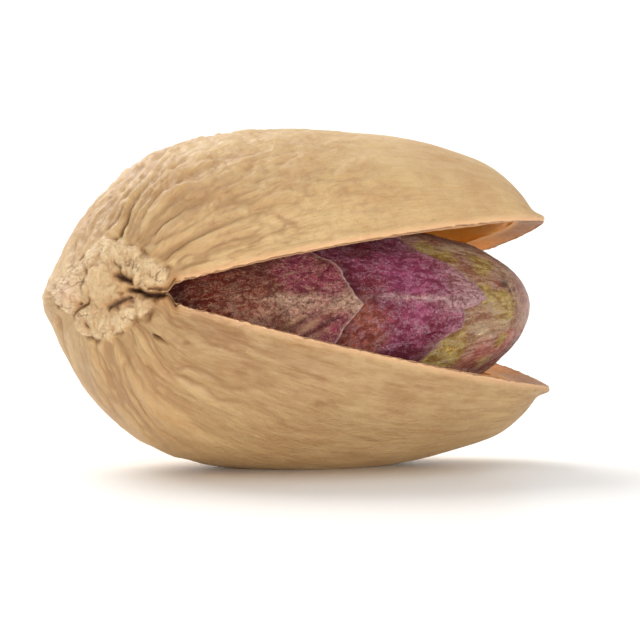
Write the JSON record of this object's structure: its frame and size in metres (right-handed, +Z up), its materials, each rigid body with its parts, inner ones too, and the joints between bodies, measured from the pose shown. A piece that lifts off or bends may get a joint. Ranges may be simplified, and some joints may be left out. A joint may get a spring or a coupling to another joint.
{
  "type": "pistachio in shell",
  "caption": "Pistachio in its split shell: two bony valves joined at the stem end, gaping at the tip round a seed in torn purple skin.",
  "frame": {"origin": "middle of the small flat spot under the lower valve that the nut rests on", "axes": "+X from the stem end towards the gaping tip, +Z up from the surface it rests on, -Y towards the side that gapes widest"},
  "size_m": [0.0208, 0.0131, 0.0134],
  "materials": {
    "shell": "matt bony shell, tan, with fine wrinkles from the stem scar",
    "kernel": "green to yellow-green seed under a thin mauve-grey film",
    "seed_coat": "papery purple skin with pale veins",
    "seed_coat_flap": "papery brown-mauve outer skin with a torn, pointed edge"
  },
  "bodies": {
    "root": {"shell": "shell", "kernel": "kernel", "seed_coat": "seed_coat", "seed_coat_flap": "seed_coat_flap"}
  },
  "joints": []
}
